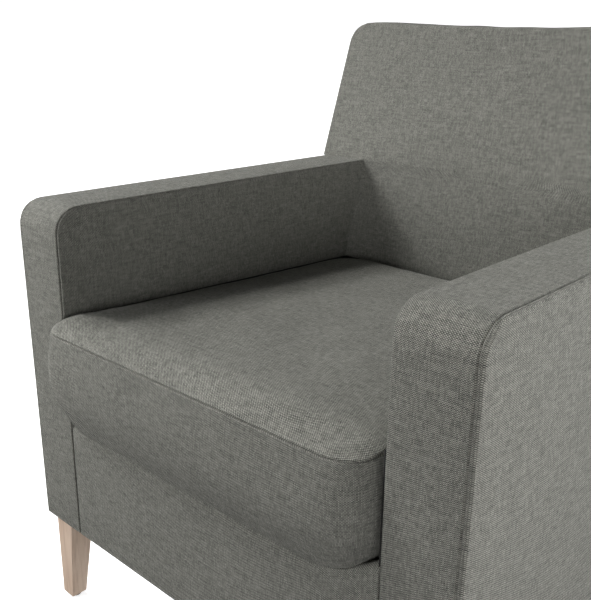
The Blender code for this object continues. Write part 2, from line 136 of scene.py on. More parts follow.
# ---- materials -------------------------------------------
class Surface:
    """A material and short ways to add nodes to it."""

    def __init__(self, name, roughness, specular=0.5, metallic=0.0, sheen=0.0):
        self.material = bpy.data.materials.new(name)
        self.material.use_nodes = True
        self.tree = self.material.node_tree
        self.shader = self.tree.nodes["Principled BSDF"]
        self.shader.inputs["Roughness"].default_value = roughness
        self.shader.inputs["Specular IOR Level"].default_value = specular
        self.shader.inputs["Metallic"].default_value = metallic
        self.shader.inputs["Sheen Weight"].default_value = sheen
        self.shader.inputs["Sheen Roughness"].default_value = 0.5

    def set(self, socket, value):
        if isinstance(value, bpy.types.NodeSocket):
            self.tree.links.new(value, socket)
        else:
            socket.default_value = value

    def math(self, operation, *values):
        node = self.tree.nodes.new("ShaderNodeMath")
        node.operation = operation
        for socket, value in zip(node.inputs, values):
            self.set(socket, value)
        return node.outputs[0]

    def mix(self, share, first, second):
        node = self.tree.nodes.new("ShaderNodeMix")
        self.set(node.inputs["Factor"], share)
        self.set(node.inputs["A"], first)
        self.set(node.inputs["B"], second)
        return node.outputs["Result"]

    def join(self, x, y, z=0.0):
        node = self.tree.nodes.new("ShaderNodeCombineXYZ")
        for socket, value in zip(node.inputs, (x, y, z)):
            self.set(socket, value)
        return node.outputs[0]

    def stretched(self, coordinates, scales):
        """The coordinates, each multiplied by its own scale."""
        return self.join(*(self.math("MULTIPLY", value, scale) for value, scale in zip(coordinates, scales)))

    def split(self, vector):
        node = self.tree.nodes.new("ShaderNodeSeparateXYZ")
        self.set(node.inputs[0], vector)
        return node.outputs

    def cloth_place(self):
        node = self.tree.nodes.new("ShaderNodeUVMap")
        node.uv_map = "cloth"
        return node.outputs[0]

    def place(self):
        return self.tree.nodes.new("ShaderNodeTexCoord").outputs["Object"]

    def noise(self, vector, scale, detail=2.0, roughness=0.5):
        node = self.tree.nodes.new("ShaderNodeTexNoise")
        node.inputs["Scale"].default_value = scale
        node.inputs["Detail"].default_value = detail
        node.inputs["Roughness"].default_value = roughness
        self.set(node.inputs["Vector"], vector)
        return node.outputs[0]

    def random(self, vector):
        node = self.tree.nodes.new("ShaderNodeTexWhiteNoise")
        node.noise_dimensions = "3D"
        self.set(node.inputs["Vector"], vector)
        return node.outputs[0]

    def ramp(self, value, *stops):
        node = self.tree.nodes.new("ShaderNodeValToRGB")
        elements = node.color_ramp.elements
        while len(elements) < len(stops):
            elements.new(0.5)
        for element, (position, colour) in zip(elements, stops):
            element.position = position
            element.color = (*colour, 1.0)
        self.set(node.inputs[0], value)
        return node.outputs[0]

    def bump(self, height, distance, strength=1.0):
        node = self.tree.nodes.new("ShaderNodeBump")
        node.inputs["Distance"].default_value = distance
        node.inputs["Strength"].default_value = strength
        self.set(node.inputs["Height"], height)
        self.set(self.shader.inputs["Normal"], node.outputs[0])

    def colour(self, value):
        self.set(self.shader.inputs["Base Color"], value)


WARP = 0.00135                 # spacing of the threads that run up the cloth
WEFT = 0.00100                 # and of those that run across it
WARP_DRIFT = 0.0009            # how far the threads wander from straight lines
WEFT_DRIFT = 0.0016
THREAD_DEPTH = 0.00045
WARP_RUN, WEFT_RUN = 6.0, 5.0  # crossings over which a thread keeps its tone
WARP_TONE, WARP_SPREAD = 0.55, 0.34
WEFT_TONE, WEFT_SPREAD = 0.06, 0.28
SLUB = 0.50                    # how much thick and thin places in the weft change the tone
PATCH = 0.05                   # how much the tone changes from place to place
YARN_COLOURS = ((0.0, (0.018, 0.019, 0.017)), (0.5, (0.252, 0.252, 0.222)), (1.0, (0.560, 0.552, 0.490)))


def woven_fabric():
    """Melange upholstery cloth: plain weave of pale warp and dark weft, with slubs along the weft, and
    painted shade in the hollows between the threads.
    """
    s = Surface("melange_weave", roughness=0.92, specular=0.2, sheen=0.10)
    u, v, _ = s.split(s.cloth_place())
    warp_drift = s.math("MULTIPLY", s.noise(s.join(u, v), 60.0, 1.0), WARP_DRIFT)
    weft_drift = s.noise(s.stretched((u, v), (9.0, 60.0)), 1.0, 1.0)
    x = s.math("DIVIDE", s.math("ADD", u, warp_drift), WARP)
    y = s.math("DIVIDE", s.math("MULTIPLY_ADD", weft_drift, WEFT_DRIFT, v), WEFT)
    cell_x, cell_y = s.math("FLOOR", x), s.math("FLOOR", y)
    warp_on_top = s.math("FLOORED_MODULO", s.math("ADD", cell_x, cell_y), 2.0)

    def hump(value):
        off_middle = s.math("SUBTRACT", s.math("MULTIPLY", s.math("FRACT", value), 2.0), 1.0)
        return s.math("SUBTRACT", 1.0, s.math("POWER", s.math("ABSOLUTE", off_middle), 2.0))
    across, along = hump(x), hump(y)
    warp_height = s.math("MULTIPLY", across, s.math("MULTIPLY_ADD", along, 0.5, 0.5))
    weft_height = s.math("MULTIPLY", along, s.math("MULTIPLY_ADD", across, 0.5, 0.5))
    height = s.mix(warp_on_top, weft_height, warp_height)

    def thread_tone(thread, along_thread, run, seed, spread, base):
        stretch = s.math("FLOOR", s.math("DIVIDE", along_thread, run))
        return s.math("MULTIPLY_ADD", s.random(s.join(thread, stretch, seed)), spread, base)
    warp_tone = thread_tone(cell_x, y, WARP_RUN, 1.0, WARP_SPREAD, WARP_TONE)
    weft_tone = thread_tone(cell_y, x, WEFT_RUN, 2.0, WEFT_SPREAD, WEFT_TONE)
    tone = s.mix(warp_on_top, weft_tone, warp_tone)
    slub = s.noise(s.stretched((u, v), (38.0, 230.0)), 1.0, 4.0, 0.80)
    patch = s.noise(s.join(u, v), 11.0, 2.0)
    tone = s.math("ADD", tone, s.math("MULTIPLY_ADD", slub, SLUB, -SLUB / 2))
    tone = s.math("ADD", tone, s.math("MULTIPLY_ADD", patch, PATCH, -PATCH / 2))
    # painted shade: the tone darkens where a thread dips under its neighbour, in the hollows of the weave
    tone = s.math("MULTIPLY", tone, s.math("MULTIPLY_ADD", height, 0.5, 0.6))
    s.colour(s.ramp(tone, *YARN_COLOURS))
    s.bump(height, THREAD_DEPTH)
    return s.material


def whitewashed_birch():
    """Pale stained birch with a fine upright grain, a little pinker in places."""
    s = Surface("whitewashed_birch", roughness=0.55, specular=0.35)
    place = s.split(s.place())
    grain = s.noise(s.stretched(place, (260.0, 260.0, 9.0)), 1.0, 4.0, 0.6)
    flow = s.noise(s.stretched(place, (40.0, 40.0, 6.0)), 1.0, 2.0)
    tone = s.math("ADD", s.math("MULTIPLY", grain, 0.6), s.math("MULTIPLY", flow, 0.4))
    s.colour(s.ramp(tone, (0.32, (0.57, 0.415, 0.315)), (0.50, (0.73, 0.565, 0.445)),
                    (0.70, (0.84, 0.68, 0.56))))
    s.bump(grain, 0.00012, 0.6)
    return s.material


def sawn_timber():
    """Rough softwood with its grain along X."""
    s = Surface("sawn_timber", roughness=0.75, specular=0.3)
    grain = s.noise(s.stretched(s.split(s.place()), (30.0, 90.0, 90.0)), 1.0, 4.0, 0.6)
    s.colour(s.ramp(grain, (0.35, (0.45, 0.30, 0.16)), (0.65, (0.68, 0.51, 0.32))))
    s.bump(grain, 0.0003, 0.5)
    return s.material


def speckled(name, dark, light, scale, roughness, depth, metallic=0.0):
    """A plain material with fine mottling: foam, felt, board, webbing, lining, plastic and steel."""
    s = Surface(name, roughness=roughness, specular=0.35, metallic=metallic)
    mottle = s.noise(s.place(), scale, 3.0, 0.65)
    s.colour(s.ramp(mottle, (0.35, dark), (0.65, light)))
    s.bump(mottle, depth, 0.6)
    return s.material


TOOTH_PITCH = 0.0015


def zip_cloth():
    """Zip tape: a row of nylon teeth along X."""
    s = Surface("zip_tape_weave", roughness=0.6, specular=0.4)
    x, _, _ = s.split(s.place())
    teeth = s.math("ABSOLUTE", s.math("SINE", s.math("MULTIPLY", x, math.pi / TOOTH_PITCH)))
    s.colour(s.ramp(teeth, (0.2, (0.07, 0.07, 0.065)), (0.6, (0.17, 0.17, 0.16))))
    s.bump(teeth, 0.0004)
    return s.material


def dress_frame():
    """Better materials on the CAD nodes that stay. Returns the near-black lining: the deck's own black lining
    cloth, and the painted shade of the collar.
    """
    foam = speckled("foam_cells", (0.66, 0.58, 0.36), (0.80, 0.73, 0.52), 900.0, 0.95, 0.0006)
    felt = speckled("needled_felt", (0.20, 0.19, 0.18), (0.38, 0.37, 0.36), 500.0, 0.97, 0.0008)
    board = speckled("hardboard_fibre", (0.22, 0.13, 0.07), (0.36, 0.23, 0.13), 700.0, 0.8, 0.0002)
    webbing = speckled("elastic_webbing", (0.03, 0.03, 0.032), (0.07, 0.07, 0.075), 600.0, 0.85, 0.0004)
    # near-black: the real colour of the black lining under the deck, and painted shade where the collar
    # stands in the crevice
    lining = speckled("black_lining_and_painted_shade", (0.014, 0.014, 0.014), (0.030, 0.030, 0.028), 800.0, 0.95, 0.0003)
    nylon = speckled("moulded_nylon", (0.16, 0.135, 0.11), (0.21, 0.18, 0.15), 300.0, 0.45, 0.0001)
    steel = speckled("bright_steel", (0.38, 0.38, 0.39), (0.48, 0.48, 0.49), 400.0, 0.35, 0.00005, 1.0)
    birch = whitewashed_birch()
    timber = sawn_timber()
    teeth = zip_cloth()
    by_slot = {"foam": foam, "felt": felt, "hardboard": board, "strap_webbing": webbing, "lining": lining,
               "glide_plastic": nylon, "spring_steel": steel, "bolt_steel": steel, "zip_metal": steel,
               "leg_wood": birch, "frame_timber": timber, "zip_tape": teeth}
    for entry in frame["record"]["subparts"]:
        if entry["material_slot"] in by_slot:
            mesh = frame["nodes"][entry["node"]].data
            mesh.materials.clear()
            mesh.materials.append(by_slot[entry["material_slot"]])
    return lining


# ---- edges of sewn panels --------------------------------
CORNER_RADIUS = 0.0040
SEAM_RADIUS = 0.0022
REACH = 0.016                  # beyond this distance from an edge a panel is plain
RIDGE_WIDTH = 0.0007
ROLL_STEPS = 6
ROWS_PAST_ROLL = (0.0006, 0.0012, 0.0020, 0.0030, 0.0042, 0.006, 0.009)
COVER_THICKNESS = 0.0016
CROWN_SHARE = 0.42             # share of a panel's shorter side over which it rises to its crown
COARSE_WAVES, FINE_WAVES = 9.0, 23.0    # noise cells per metre of a panel's waves


def rolled_edge(radius, start, groove, groove_width, tuck, ridge=None):
    """Rows of a panel beside one seam, from the seam inwards: (distance along the cloth, distance in from
    the panel's nominal edge, depth under its nominal face). The cloth turns over the edge by 90 degrees
    less start, is pulled in by groove at the seam, and ridge adds a second shallow line further in."""
    turn = math.pi / 2 - start
    steps = [radius * turn * i / ROLL_STEPS for i in range(ROLL_STEPS + 1)]
    last = steps[-1]
    steps += [last + extra for extra in ROWS_PAST_ROLL]
    steps.append(REACH)
    rows = []
    for along in steps:
        angle = min(math.pi / 2, start + along / radius)
        inwards = radius * (1 - math.cos(angle)) + max(0.0, along - last)
        depth = radius * (1 - math.sin(angle))
        pinch = groove * max(0.0, 1 - along / groove_width) ** 2
        if ridge:
            place, ridge_depth = ridge
            pinch += ridge_depth * math.exp(-((along - place) / RIDGE_WIDTH) ** 2)
        rows.append((along, inwards + pinch * math.cos(angle), depth + pinch * math.sin(angle)))
    along, inwards, depth = rows[0]
    under = (-tuck, inwards + tuck * math.sin(start), depth + tuck * math.cos(start))
    return [under] + rows


def open_edge(beyond):
    """An edge that runs on behind its neighbour."""
    return [(-beyond, -beyond, 0.0), (REACH, REACH, 0.0)]


CORNER = rolled_edge(CORNER_RADIUS, math.pi / 4, 0.0016, 0.0020, 0.004)
LAPPED = rolled_edge(CORNER_RADIUS, math.pi / 4, 0.0024, 0.0017, 0.004, ridge=(0.0037, 0.0016))
SEAM = rolled_edge(SEAM_RADIUS, 0.0, 0.0, 0.001, 0.004)
# a folded hem: the cloth turns under, and a line of stitches runs 6 mm up from the fold
HEM_FOLD = [(-0.008, 0.0015, 0.0030), (-0.002, 0.0003, 0.0020), (0.0, 0.0, 0.0011), (0.0008, 0.0003, 0.0003),
            (0.0018, 0.0012, 0.0), (0.0042, 0.0036, 0.0), (0.0052, 0.0046, 0.0003), (0.0058, 0.0052, 0.0008),
            (0.0064, 0.0058, 0.0003), (0.0074, 0.0068, 0.0), (REACH, REACH, 0.0)]


def lines_across(start, end, width, spacing=0.011):
    """Positions from one edge to the other: (along the cloth, place, depth, distance to nearest edge)."""
    middle_width = width - start[-1][1] - end[-1][1]
    count = max(2, round(middle_width / spacing))
    lines = [(along, inwards, depth) for along, inwards, depth in start]
    for i in range(1, count):
        place = start[-1][1] + middle_width * i / count
        lines.append((start[-1][0] + place - start[-1][1], place, 0.0))
    total = start[-1][0] + middle_width + end[-1][0]
    lines += [(total - along, width - inwards, depth) for along, inwards, depth in reversed(end)]
    return np.array(lines)


def panel(name, widths, height, place, left, right, bottom, top, material,
          rounded=(), crown=0.003, wobble=0.0006, spacing=0.011, flat_weave=True, seed=0.0):
    """A sewn panel of cloth. widths(v) is its width at v, place(u, v) gives points and normals, and
    rounded lists (which corner, radius). Crown is how far the middle stands out."""
    rows = lines_across(bottom, top, height, spacing)
    widest = max(widths(0.0), widths(height))
    columns = lines_across(left, right, widest, spacing)
    count_v, count_u = len(rows), len(columns)
    u = np.empty((count_v, count_u))
    v = np.empty((count_v, count_u))
    depth = np.empty((count_v, count_u))
    cloth = np.empty((count_v, count_u, 2))
    near_left = len(left)
    near_right = len(right)
    for j, (along_v, place_v, depth_v) in enumerate(rows):
        width = widths(min(max(place_v, 0.0), height))
        across = columns[:, 1].copy()
        across[count_u - near_right:] += width - widest
        inner = slice(near_left - 1, count_u - near_right + 1)
        reference = columns[inner, 1]
        share = (reference - reference[0]) / (reference[-1] - reference[0])
        across[inner] = across[near_left - 1] + (across[count_u - near_right] - across[near_left - 1]) * share
        u[j] = across
        v[j] = place_v
        depth[j] = np.maximum(columns[:, 2], depth_v)
        fold_u = np.where(across < width / 2, -columns[:, 2], columns[:, 2])
        fold_v = -depth_v if place_v < height / 2 else depth_v
        cloth[j, :, 0] = across + fold_u if flat_weave else columns[:, 0]
        cloth[j, :, 1] = place_v + fold_v if flat_weave else along_v
    width_here = np.array([widths(min(max(p, 0.0), height)) for p in rows[:, 1]])[:, None]
    round_corners(u, v, width_here, height, rounded)
    distance = np.minimum(np.minimum(u, width_here - u), np.minimum(v, height - v))
    rise = 1 - (1 - np.clip(distance / (CROWN_SHARE * min(widest, height)), 0, 1)) ** 2
    points, normals = place(u.ravel(), v.ravel())
    swell = (crown * rise).ravel() - depth.ravel()
    for i, point in enumerate(points):
        soft = rise.flat[i] ** 0.5
        coarse = noise.noise(Vector(point) * COARSE_WAVES + Vector((seed, 0, 0)))
        fine = noise.noise(Vector(point) * FINE_WAVES + Vector((0, seed, 0)))
        swell[i] += soft * wobble * (coarse + 0.5 * fine)
    points = points + normals * swell[:, None]
    return grid_object(name, points, cloth.reshape(-1, 2), count_v, count_u, normals, material)


def round_corners(u, v, width, height, rounded):
    """Turns square corners of the grid into round ones, ring by ring."""
    for corner, radius in rounded:
        from_side = width - u if "right" in corner else u
        from_end = height - v if "top" in corner else v
        a = radius - from_side
        b = radius - from_end
        inside = (a > 0) & (b > 0)
        scale = np.where(inside, np.maximum(a, b) / np.maximum(np.hypot(a, b), 1e-9), 1.0)
        new_side = np.where(inside, radius - a * scale, from_side)
        new_end = np.where(inside, radius - b * scale, from_end)
        u[:] = width - new_side if "right" in corner else new_side
        v[:] = height - new_end if "top" in corner else new_end


def grid_object(name, points, cloth, count_v, count_u, normals, material):
    """A mesh from a grid of points, facing the way of its normals, as thick as the cover's cloth."""
    faces = []
    for j in range(count_v - 1):
        for i in range(count_u - 1):
            a = j * count_u + i
            faces.append((a, a + 1, a + count_u + 1, a + count_u))
    a, b, c, _ = faces[len(faces) // 2]
    facing = np.cross(points[b] - points[a], points[c] - points[b])
    if np.dot(facing, normals[a]) < 0:
        faces = [face[::-1] for face in faces]
    mesh = bpy.data.meshes.new(name)
    mesh.from_pydata([tuple(p) for p in points], [], faces)
    layer = mesh.uv_layers.new(name="cloth")
    corner_vertices = np.empty(len(mesh.loops), dtype=np.int32)
    mesh.loops.foreach_get("vertex_index", corner_vertices)
    layer.data.foreach_set("uv", cloth[corner_vertices].astype(np.float32).ravel())
    mesh.shade_smooth()
    mesh.materials.append(material)
    piece = add_object(name, mesh)
    thickness = piece.modifiers.new("thickness", "SOLIDIFY")
    thickness.thickness = COVER_THICKNESS
    thickness.offset = -1.0
    return piece


def stacked(*columns):
    """Rows of points from columns of coordinates."""
    return np.stack(np.broadcast_arrays(*columns), axis=1).astype(float)


def finish_soft(piece, body):
    """Attaches a padded cover to the body that it moves with."""
    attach(piece, body)


# ---- arms ------------------------------------------------
INNER_START = 0.292            # the arm's inner panel runs down behind the deck's edge


def band_length():
    front = ARM_TOP - HEM - ARM_CORNER
    top = back_face(ARM_TOP) - ARM_FRONT - ARM_CORNER
    return front + ARM_CORNER * math.pi / 2 + top


def band_place(side):
    """The strip over an arm's front and top: u across the arm from its outer edge, v up and back."""
    front = ARM_TOP - HEM - ARM_CORNER
    bend = ARM_CORNER * math.pi / 2

    def place(u, v):
        turn = np.clip((v - front) / bend, 0, 1) * math.pi / 2
        y = ARM_FRONT + ARM_CORNER * (1 - np.cos(turn)) + np.maximum(v - front - bend, 0)
        z = HEM + np.minimum(v, front) + ARM_CORNER * np.sin(turn)
        normal = stacked(np.zeros_like(turn), -np.cos(turn), np.sin(turn))
        x = HALF - u + flare(z) * (1 - u / ARM_WIDTH)
        return stacked(side * x, y, z), normal
    return place


def arm(word, side, fabric, seed):
    """One arm: the band over its front and top, its inner panel and its outer panel."""
    band = panel(word + "_arm_band", lambda v: ARM_WIDTH, band_length(), band_place(side), LAPPED, CORNER,
                 HEM_FOLD, SEAM, fabric, crown=0.0016, wobble=0.0005, flat_weave=False, seed=seed)
    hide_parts(word + "_arm_band_cover", word + "_arm_top_foam")

    def inner_place(u, v):
        return stacked(side * ARM_INSIDE, ARM_FRONT + u, INNER_START + v), stacked(-side, u * 0, 0.0)
    inner = panel(word + "_arm_inner_panel", lambda v: back_face(INNER_START + v) - ARM_FRONT,
                  ARM_TOP - INNER_START, inner_place, CORNER, SEAM, open_edge(0.0), CORNER, fabric,
                  rounded=(("left_top", ARM_CORNER),), crown=0.0030, wobble=0.0012, seed=seed + 3.0)
    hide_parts(word + "_arm_inner_cover", word + "_arm_inner_foam")

    def outer_place(u, v):
        return stacked(side * (HALF + flare(HEM + v)), ARM_FRONT + u, HEM + v), stacked(side, u * 0, 0.0)
    outer = panel(word + "_arm_outer_panel", lambda v: rear_face(HEM + v) - ARM_FRONT, ARM_TOP - HEM,
                  outer_place, CORNER, CORNER, HEM_FOLD, CORNER, fabric,
                  rounded=(("left_top", ARM_CORNER),), crown=0.0036, wobble=0.0010, seed=seed + 6.0)
    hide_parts(word + "_arm_outer_cover")
    for piece in (band, inner, outer):
        finish_soft(piece, "frame")


# ---- front apron and deck --------------------------------
APRON_RADIUS = 0.012           # of its roll over the seat's front edge
APRON_RUN_BACK = 0.034         # how far it runs back under the cushion
CORNER_RISE = 0.0225           # how far the padded edge stands up in the corner by the right arm
RISE_START, RISE_RUN = 0.160, 0.090
CORNER_TUCK = 0.0085           # and how much further the apron does beside the arm
TUCK_START, TUCK_RUN = 0.232, 0.020
RISE_REAR = ARM_FRONT + 0.040  # where the mound has died out under the cushion
RISE_FADE = 0.024
DECK_START = ARM_FRONT + 0.022
DECK_CLEARANCE = 0.0008        # how far the deck panel lies under the deck cloth's face
DECK_SPACING = 0.018


def corner_rise(x, y, tuck=0.0):
    """How far the padding stands up by the right arm; the tuck fills the last of the corner."""
    mound = CORNER_RISE * smooth_step((x - RISE_START) / RISE_RUN)
    mound += tuck * smooth_step((x - TUCK_START) / TUCK_RUN)
    return mound * smooth_step((RISE_REAR - y) / RISE_FADE)


def apron(fabric):
    """From the hem up, over the front of the deck and a little way back under the cushion."""
    rise = DECK - HEM - APRON_RADIUS
    bend = APRON_RADIUS * math.pi / 2

    def place(u, v):
        turn = np.clip((v - rise) / bend, 0, 1) * math.pi / 2
        y = ARM_FRONT + APRON_RADIUS * (1 - np.cos(turn)) + np.maximum(v - rise - bend, 0)
        x = u - ARM_INSIDE
        z = HEM + np.minimum(v, rise) + APRON_RADIUS * np.sin(turn)
        z += corner_rise(x, y, CORNER_TUCK) * np.clip(v / rise, 0, 1)
        return stacked(x, y, z), stacked(np.zeros_like(turn), -np.cos(turn), np.sin(turn))
    piece = panel("front_apron", lambda v: 2 * ARM_INSIDE, rise + bend + APRON_RUN_BACK, place, SEAM, SEAM,
                  HEM_FOLD, SEAM, fabric, crown=0.0, wobble=0.0007, flat_weave=False, seed=11.0)
    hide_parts("front_apron_cover", "front_edge_foam")
    finish_soft(piece, "frame")


def deck(lining):
    """The plain cloth under the cushion, from behind the apron's roll to the back."""
    depth = back_face(DECK) - DECK_START

    def place(u, v):
        y = DECK_START + v
        z = DECK - DECK_CLEARANCE + corner_rise(u - ARM_INSIDE, y)
        return stacked(u - ARM_INSIDE, y, z), stacked(np.zeros_like(u), np.zeros_like(u), np.ones_like(u))
    piece = panel("seat_deck", lambda v: 2 * ARM_INSIDE, depth, place, SEAM, SEAM, SEAM, SEAM, lining,
                  crown=0.0, wobble=0.0, spacing=DECK_SPACING, seed=12.0)
    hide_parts("seat_deck_cloth")
    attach(piece, "frame")


# ---- back ------------------------------------------------
BETWEEN_ARMS = ARM_TOP - 0.002 # below this height the inside back tucks in between the arms
BETWEEN_RUN = 0.012
BEHIND_ARM = 0.04              # how far its sides run on behind the arms' inner panels


def back_panels(fabric):
    """The inside back, the outside back and the border strip between them."""
    slope = math.hypot(1, BACK_LEAN)
    start = back_low[2]

    def inside_place(u, v):
        z = start + v / slope
        hidden = np.clip((BETWEEN_ARMS - z) / BETWEEN_RUN, 0, 1)
        half = back_half(z) * (1 - hidden) + (ARM_INSIDE + BEHIND_ARM) * hidden
        x = (u / HALF - 1) * half
        z = z - dip(x, z)
        return stacked(x, back_face(z), z), stacked(np.zeros_like(u), -1 / slope, BACK_LEAN / slope)
    inside = panel("inside_back", lambda v: 2 * HALF, (TOP - start) * slope, inside_place, CORNER, CORNER,
                   SEAM, CORNER, fabric, rounded=(("left_top", BACK_CORNER), ("right_top", BACK_CORNER)),
                   crown=0.0045, wobble=0.0020, seed=21.0)
    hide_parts("inside_back_cover", "back_foam")

    rear_slope = math.hypot(1, REAR_LEAN)

    def rear_place(u, v):
        z = HEM + v / rear_slope
        x = (u / HALF - 1) * back_half(z)
        z = z - dip(x, z)
        return stacked(x, rear_face(z), z), stacked(np.zeros_like(u), 1 / rear_slope, -REAR_LEAN / rear_slope)
    rear = panel("outside_back", lambda v: 2 * HALF, (TOP - HEM) * rear_slope, rear_place, CORNER, CORNER,
                 HEM_FOLD, CORNER, fabric, rounded=(("left_top", BACK_CORNER), ("right_top", BACK_CORNER)),
                 crown=0.0015, wobble=0.0014, seed=31.0)
    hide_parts("outside_back_cover")
    border = back_border(fabric)
    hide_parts("back_border_cover")
    for piece in (inside, rear, border):
        finish_soft(piece, "frame")


def back_border(fabric):
    """The strip round the back: up one side from the arm, over the top and down the other side."""
    lean = (HALF + BACK_SPREAD - BACK_HALF_TOP) / (TOP - ARM_TOP)
    side_angle = math.atan(lean)
    side_length = (TOP - BACK_CORNER - SPREAD_START) * math.hypot(1, lean)
    bend = BACK_CORNER * (math.pi / 2 - side_angle)
    flat = 2 * (BACK_HALF_TOP - BACK_CORNER)
    total = 2 * side_length + 2 * bend + flat
    half_total = total / 2

    def path(v):
        """X, Z and the outward direction at a distance from the middle of the top, on the right side."""
        past = np.maximum(v - flat / 2, 0)
        turn = np.clip(past / bend, 0, 1) * (math.pi / 2 - side_angle)
        down = np.maximum(past - bend, 0)
        x = np.minimum(v, flat / 2) + BACK_CORNER * np.sin(turn) + down * math.sin(side_angle)
        z = TOP - BACK_CORNER * (1 - np.cos(turn)) - down * math.cos(side_angle)
        return x, z, np.sin(turn), np.cos(turn)

    def place(u, v):
        signed = v - half_total
        x, z, out_x, out_z = path(np.abs(signed))
        x = np.sign(signed) * (x - narrowing(z))
        z = z - dip(x, z)
        return stacked(x, back_face(z) + u, z), stacked(np.sign(signed) * out_x, u * 0, out_z)

    def depth_at(v):
        z = path(np.abs(np.array(v - half_total)))[1]
        return float(rear_face(z) - back_face(z))
    return panel("back_border", depth_at, total, place, CORNER, CORNER, SEAM, SEAM, fabric,
                 crown=0.0012, wobble=0.0022, flat_weave=False, seed=41.0)


# ---- loose cushion ---------------------------------------
SEAT_LEFT = -0.2505            # the cushion lies against the left arm
SEAT_RIGHT = 0.2445
SEAT_CORNERS = (("left_bottom", 0.017), ("right_bottom", 0.046), ("left_top", 0.062), ("right_top", 0.062))
SEAT_FRONT = 0.026             # how far the top seam stands out in front of the arms
SEAT_TUCK_FRONT = 0.019        # how far the bottom seam is set back from the top one
SEAT_TUCK_SIDE = 0.004
SPREAD_OVER_ARM = 0.0185       # how far the left front corner spreads sideways once clear of the arm
CORNER_REACH = 0.070           # width of the part that spreads
SPREAD_RISE = 0.040            # height over which it comes out from the foot
SPREAD_LESS_AT_SEAM = 0.28     # share by which it spreads less near the top seam
NEAR_SEAM, NEAR_SEAM_RUN = 0.085, 0.045
CLEAR_OF_ARM = ARM_FRONT - 0.0015
CLEAR_RUN = 0.009
BOXING_BULGE = 0.0065
BULGE_SHIFT = 0.8              # below 1, the boxing is fullest under its middle
FOOT_HEIGHT = 0.004            # of the bottom panel over the deck, before the cushion is filled
FOOT_LIFT = 0.72               # share of the corner's rise that lifts the cushion resting on it
FRONT_SAG = 0.0060             # how far its foot hangs over the seat's front edge
SAG_START, SAG_RUN = ARM_FRONT + 0.012, 0.016
SEAT_SWELL = 0.0035            # how far the filling may push the cover out
FILLING_PRESSURE = 6.0
SEAM_FRONT = 0.448             # height of the cushion's top seam along the front, then along the sides
SEAM_SIDE = 0.4610
SEAM_REAR = 0.4375
SEAM_RIGHT_DROP = 0.007        # how much lower the side seam starts on the right
SEAM_DELAY = 0.018             # and how much further back
SEAM_DIP_START, SEAM_DIP_RUN = 0.026, 0.034
RIGHT_PART, RIGHT_RUN = 0.12, 0.10
CROWN_RISE = 0.0125            # height of the top panel's middle over its seam
CROWN_RUN = 0.018
CORNER_PUFF = 0.0045           # extra fullness over the left front corner
PUFF_REACH, PUFF_RUN = 0.035, 0.006
ZIP_HEIGHT = 0.375             # a hollow in the rear of the boxing holds the zip
ZIP_REACH = 0.014
ZIP_HALF = 0.222
ZIP_HOLLOW = 0.0115
REAR_CLEARANCE = 0.007
CUSHION_WAVES = ((0.0016, 13.0), (0.0009, 31.0))  # height, and noise cells per metre
EDGE_LADDER = [0.0, 0.004, 0.010, 0.018]          # closer rows of points beside the cushion's seams
CUSHION_SPACING = 0.011
BOXING_LEVELS = [0.03, 0.08, 0.15, 0.23, 0.32, 0.41, 0.50, 0.59, 0.68, 0.77, 0.85, 0.92, 0.97]


def cushion_outline_grid():
    """Plan positions of the cushion's top and bottom panels, with rounded corners."""
    def spread(length):
        last = EDGE_LADDER[-1]
        count = round((length - 2 * last) / CUSHION_SPACING)
        middle = np.linspace(last, length - last, count + 1)
        far_end = [length - step for step in reversed(EDGE_LADDER[:-1])]
        return np.concatenate([EDGE_LADDER[:-1], middle, far_end])
    width = SEAT_RIGHT - SEAT_LEFT
    front = ARM_FRONT - SEAT_FRONT
    depth = back_face(SEAM_REAR) - REAR_CLEARANCE - front
    u, v = np.meshgrid(spread(width), spread(depth))
    round_corners(u, v, width, depth, SEAT_CORNERS)
    return u + SEAT_LEFT, v + front


def seam_height(x, y):
    """The top seam dips at the front, longest by the right arm, and falls gently towards the back."""
    to_right = smooth_step((x - RIGHT_PART) / RIGHT_RUN)
    behind = y - ARM_FRONT - SEAM_DELAY * to_right
    start = SEAM_SIDE - SEAM_RIGHT_DROP * to_right
    side = start + (SEAM_REAR - start) * behind / (back_face(SEAM_REAR) - ARM_FRONT)
    return SEAM_FRONT + (side - SEAM_FRONT) * smooth_step((behind + SEAM_DIP_START) / SEAM_DIP_RUN)


def crown(x, y, x_grid, y_grid):
    """How high the top panel stands over its seam, from the distance to its outline."""
    outline = np.concatenate([np.stack([x_grid[k], y_grid[k]], 1) for k in (0, -1)]
                             + [np.stack([x_grid[:, k], y_grid[:, k]], 1) for k in (0, -1)])
    distance = np.sqrt(((outline - (x, y)) ** 2).sum(1).min())
    to_corner = math.hypot(x - SEAT_LEFT, y - ARM_FRONT)
    puff = CORNER_PUFF * math.exp(-(to_corner / PUFF_REACH) ** 2) * (1 - math.exp(-distance / PUFF_RUN))
    return CROWN_RISE * (1 - math.exp(-distance / CROWN_RUN)) + puff


def add_flat_panel(shape, weave, positions):
    """A panel of the cushion as a grid of faces, from rows of (x, y, z)."""
    rows = [[shape.verts.new(position) for position in row] for row in positions]
    for near, far in zip(rows, rows[1:]):
        for i in range(len(near) - 1):
            face = shape.faces.new([near[i], near[i + 1], far[i + 1], far[i]])
            for loop in face.loops:
                loop[weave].uv = loop.vert.co.x, loop.vert.co.y
    return rows


